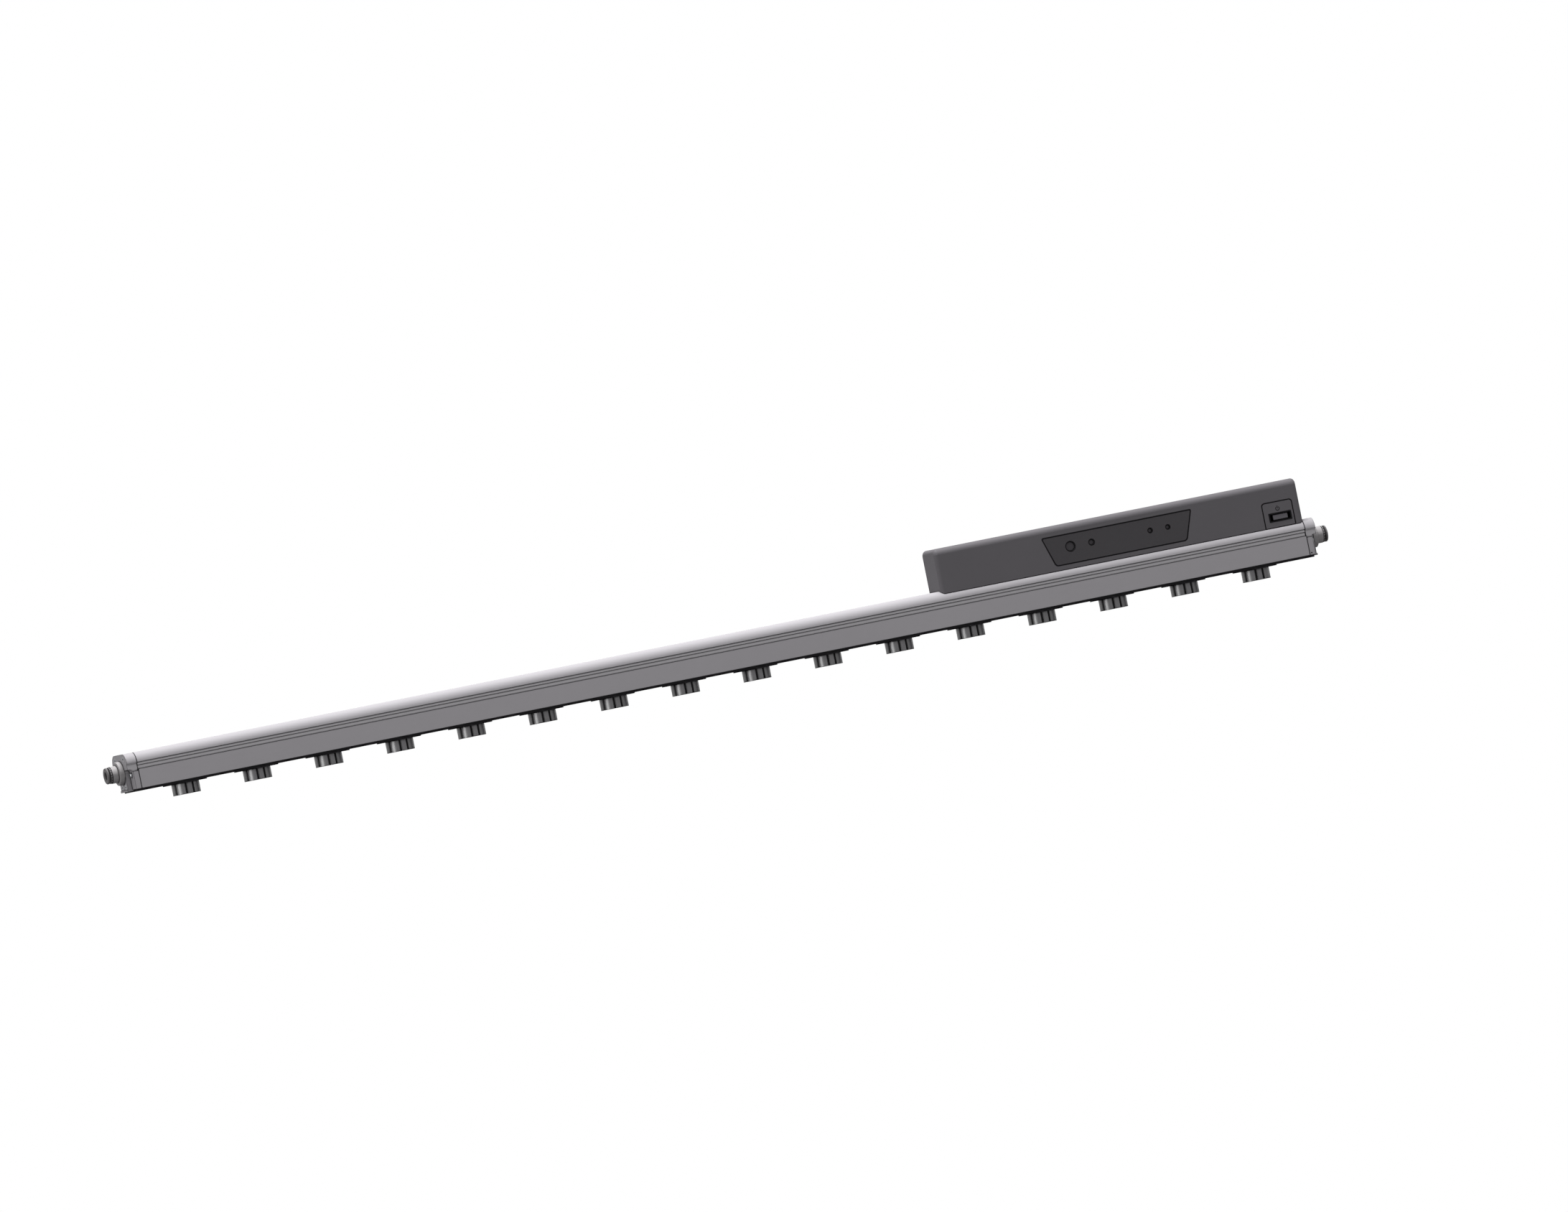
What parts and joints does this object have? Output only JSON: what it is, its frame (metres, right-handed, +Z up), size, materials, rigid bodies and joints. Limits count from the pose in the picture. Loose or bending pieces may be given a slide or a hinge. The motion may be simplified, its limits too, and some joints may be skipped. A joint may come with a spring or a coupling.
{
  "type": "ionizing bar",
  "caption": "Long static-eliminator bar with quarter-turn emitter cartridges underneath, a push-in air fitting at each end and a controller box on top.",
  "frame": {"origin": "under the middle of the bar, on the plane of the cartridges' lower faces", "axes": "+X along the bar towards the controller's end, +Y to the back, +Z up"},
  "size_m": [1.0264, 0.037, 0.0737],
  "materials": {
    "housing_plastic": "extruded ABS, satin",
    "cover_plastic": "moulded ABS, satin",
    "cap_plastic": "moulded ABS, fine texture",
    "cartridge_plastic": "moulded ABS, satin",
    "controller_plastic": "moulded ABS, fine texture",
    "fitting_plastic": "moulded PBT, smooth",
    "release_plastic": "moulded acetal, smooth",
    "seal_rubber": "moulded rubber",
    "insulator_plastic": "glass-filled nylon",
    "contact_brass": "bright strip",
    "spring_steel": "rolled strip",
    "screw_steel": "zinc plated",
    "electrode_metal": "ground points",
    "potting_resin": "cast resin",
    "board_laminate": "glass laminate with solder mask",
    "panel_film": "printed film, satin",
    "window_lens": "tinted lens, glossy",
    "socket_plastic": "moulded nylon, black"
  },
  "bodies": {
    "bar": {"bar_housing": "housing_plastic", "bottom_cover": "cover_plastic", "cartridge_seals": "seal_rubber", "bus_carrier": "insulator_plastic", "high_voltage_bus": "contact_brass", "contact_springs": "spring_steel", "left_end_cap": "cap_plastic", "right_end_cap": "cap_plastic", "left_end_gasket": "seal_rubber", "right_end_gasket": "seal_rubber", "left_fitting_body": "fitting_plastic", "right_fitting_body": "fitting_plastic", "tube_seals": "seal_rubber", "grab_collets": "spring_steel", "cap_screws": "screw_steel", "carrier_screws": "screw_steel", "controller_base": "insulator_plastic", "high_voltage_module": "potting_resin", "high_voltage_lead": "seal_rubber", "control_board": "board_laminate", "panel_film": "panel_film", "panel_windows": "window_lens", "socket_plate": "controller_plastic", "power_socket": "socket_plastic", "controller_cover": "controller_plastic", "controller_screws": "screw_steel"},
    "cartridge_01": {"emitter_cartridge_01": "cartridge_plastic", "electrode_needles_01": "electrode_metal"},
    "cartridge_02": {"emitter_cartridge_02": "cartridge_plastic", "electrode_needles_02": "electrode_metal"},
    "cartridge_03": {"emitter_cartridge_03": "cartridge_plastic", "electrode_needles_03": "electrode_metal"},
    "cartridge_04": {"emitter_cartridge_04": "cartridge_plastic", "electrode_needles_04": "electrode_metal"},
    "cartridge_05": {"emitter_cartridge_05": "cartridge_plastic", "electrode_needles_05": "electrode_metal"},
    "cartridge_06": {"emitter_cartridge_06": "cartridge_plastic", "electrode_needles_06": "electrode_metal"},
    "cartridge_07": {"emitter_cartridge_07": "cartridge_plastic", "electrode_needles_07": "electrode_metal"},
    "cartridge_08": {"emitter_cartridge_08": "cartridge_plastic", "electrode_needles_08": "electrode_metal"},
    "cartridge_09": {"emitter_cartridge_09": "cartridge_plastic", "electrode_needles_09": "electrode_metal"},
    "cartridge_10": {"emitter_cartridge_10": "cartridge_plastic", "electrode_needles_10": "electrode_metal"},
    "cartridge_11": {"emitter_cartridge_11": "cartridge_plastic", "electrode_needles_11": "electrode_metal"},
    "cartridge_12": {"emitter_cartridge_12": "cartridge_plastic", "electrode_needles_12": "electrode_metal"},
    "cartridge_13": {"emitter_cartridge_13": "cartridge_plastic", "electrode_needles_13": "electrode_metal"},
    "cartridge_14": {"emitter_cartridge_14": "cartridge_plastic", "electrode_needles_14": "electrode_metal"},
    "cartridge_15": {"emitter_cartridge_15": "cartridge_plastic", "electrode_needles_15": "electrode_metal"},
    "cartridge_16": {"emitter_cartridge_16": "cartridge_plastic", "electrode_needles_16": "electrode_metal"},
    "left_release": {"left_release_ring": "release_plastic"},
    "right_release": {"right_release_ring": "release_plastic"}
  },
  "joints": [
    {"name": "cartridge_turn_01", "type": "hinge", "parent": "bar", "child": "cartridge_01", "pos_m": [-0.45, 0, 0.012], "axis": [0, 0, 1], "range_deg": [0, 90]},
    {"name": "cartridge_turn_02", "type": "hinge", "parent": "bar", "child": "cartridge_02", "pos_m": [-0.39, 0, 0.012], "axis": [0, 0, 1], "range_deg": [0, 90]},
    {"name": "cartridge_turn_03", "type": "hinge", "parent": "bar", "child": "cartridge_03", "pos_m": [-0.33, 0, 0.012], "axis": [0, 0, 1], "range_deg": [0, 90]},
    {"name": "cartridge_turn_04", "type": "hinge", "parent": "bar", "child": "cartridge_04", "pos_m": [-0.27, 0, 0.012], "axis": [0, 0, 1], "range_deg": [0, 90]},
    {"name": "cartridge_turn_05", "type": "hinge", "parent": "bar", "child": "cartridge_05", "pos_m": [-0.21, 0, 0.012], "axis": [0, 0, 1], "range_deg": [0, 90]},
    {"name": "cartridge_turn_06", "type": "hinge", "parent": "bar", "child": "cartridge_06", "pos_m": [-0.15, 0, 0.012], "axis": [0, 0, 1], "range_deg": [0, 90]},
    {"name": "cartridge_turn_07", "type": "hinge", "parent": "bar", "child": "cartridge_07", "pos_m": [-0.09, 0, 0.012], "axis": [0, 0, 1], "range_deg": [0, 90]},
    {"name": "cartridge_turn_08", "type": "hinge", "parent": "bar", "child": "cartridge_08", "pos_m": [-0.03, 0, 0.012], "axis": [0, 0, 1], "range_deg": [0, 90]},
    {"name": "cartridge_turn_09", "type": "hinge", "parent": "bar", "child": "cartridge_09", "pos_m": [0.03, 0, 0.012], "axis": [0, 0, 1], "range_deg": [0, 90]},
    {"name": "cartridge_turn_10", "type": "hinge", "parent": "bar", "child": "cartridge_10", "pos_m": [0.09, 0, 0.012], "axis": [0, 0, 1], "range_deg": [0, 90]},
    {"name": "cartridge_turn_11", "type": "hinge", "parent": "bar", "child": "cartridge_11", "pos_m": [0.15, 0, 0.012], "axis": [0, 0, 1], "range_deg": [0, 90]},
    {"name": "cartridge_turn_12", "type": "hinge", "parent": "bar", "child": "cartridge_12", "pos_m": [0.21, 0, 0.012], "axis": [0, 0, 1], "range_deg": [0, 90]},
    {"name": "cartridge_turn_13", "type": "hinge", "parent": "bar", "child": "cartridge_13", "pos_m": [0.27, 0, 0.012], "axis": [0, 0, 1], "range_deg": [0, 90]},
    {"name": "cartridge_turn_14", "type": "hinge", "parent": "bar", "child": "cartridge_14", "pos_m": [0.33, 0, 0.012], "axis": [0, 0, 1], "range_deg": [0, 90]},
    {"name": "cartridge_turn_15", "type": "hinge", "parent": "bar", "child": "cartridge_15", "pos_m": [0.39, 0, 0.012], "axis": [0, 0, 1], "range_deg": [0, 90]},
    {"name": "cartridge_turn_16", "type": "hinge", "parent": "bar", "child": "cartridge_16", "pos_m": [0.45, 0, 0.012], "axis": [0, 0, 1], "range_deg": [0, 90]},
    {"name": "left_release_push", "type": "slide", "parent": "bar", "child": "left_release", "axis": [1, 0, 0], "range_m": [0, 0.001], "stiffness_N_per_m": 1500},
    {"name": "right_release_push", "type": "slide", "parent": "bar", "child": "right_release", "axis": [-1, 0, 0], "range_m": [0, 0.001], "stiffness_N_per_m": 1500}
  ]
}
